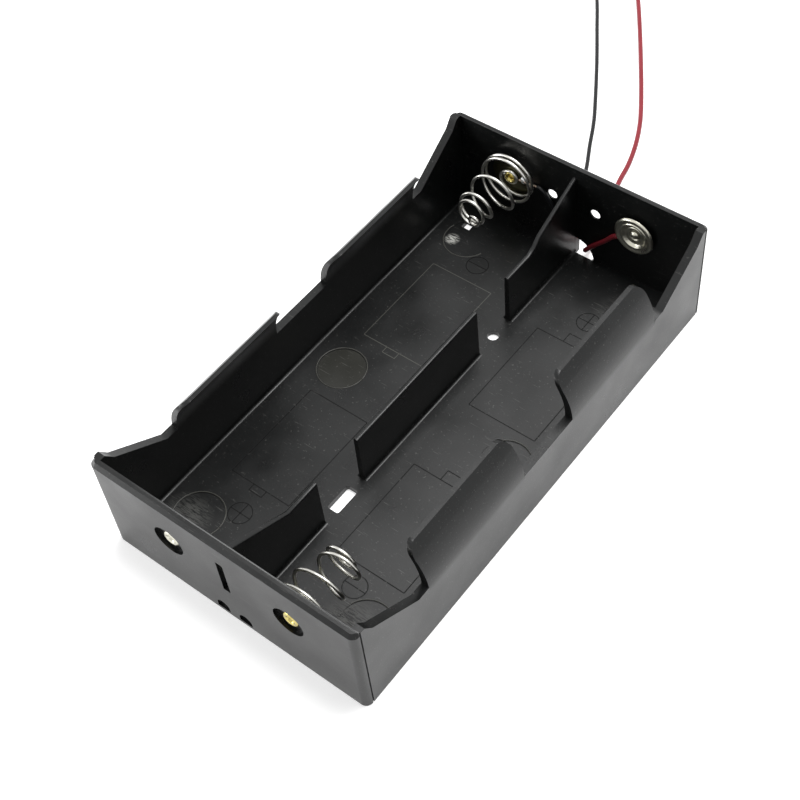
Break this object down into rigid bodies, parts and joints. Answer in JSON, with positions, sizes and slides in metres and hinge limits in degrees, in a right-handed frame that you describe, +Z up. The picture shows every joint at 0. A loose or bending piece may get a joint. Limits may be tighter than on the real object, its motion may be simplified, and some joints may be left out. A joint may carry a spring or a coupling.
{
  "type": "cylindrical cell holder",
  "caption": "Open plastic tray that holds large cylindrical cells end to end in side-by-side bays, with contact springs, button contacts and flying leads.",
  "frame": {"origin": "middle of the tray's underside, on the surface it stands on", "axes": "+X across the bays, +Y along the cells towards the wall where the leads come out, +Z up out of the open top"},
  "size_m": [0.121, 0.2624, 0.0298],
  "materials": {
    "tray_plastic": "black moulded plastic, finely textured",
    "spring_wire": "nickel-plated spring steel wire",
    "nickel_plate": "nickel-plated steel, bright",
    "brass": "bright rolled brass",
    "solder": "tin solder, satin",
    "red_pvc": "red PVC insulation, semi-gloss",
    "black_pvc": "black PVC insulation, semi-gloss",
    "tinned_copper": "tinned copper strands"
  },
  "bodies": {
    "holder": {"tray": "tray_plastic", "eyelet_far": "brass", "eyelet_near": "brass", "button_far": "nickel_plate", "button_near": "nickel_plate", "rivet_far": "nickel_plate", "rivet_near": "nickel_plate", "jumper_strip": "nickel_plate", "tag_positive": "nickel_plate", "tag_negative": "nickel_plate", "solder_positive": "solder", "solder_negative": "solder", "red_lead": "red_pvc", "black_lead": "black_pvc", "red_tail": "tinned_copper", "black_tail": "tinned_copper", "red_end": "tinned_copper", "black_end": "tinned_copper"},
    "far_spring": {"spring_far": "spring_wire"},
    "near_spring": {"spring_near": "spring_wire"}
  },
  "joints": [
    {"name": "far_spring_press", "type": "slide", "parent": "holder", "child": "far_spring", "axis": [0, 1, 0], "range_m": [0, 0.0143], "stiffness_N_per_m": 350, "deforming": ["spring_far"]},
    {"name": "near_spring_press", "type": "slide", "parent": "holder", "child": "near_spring", "axis": [0, -1, 0], "range_m": [0, 0.0143], "stiffness_N_per_m": 350, "deforming": ["spring_near"]}
  ]
}
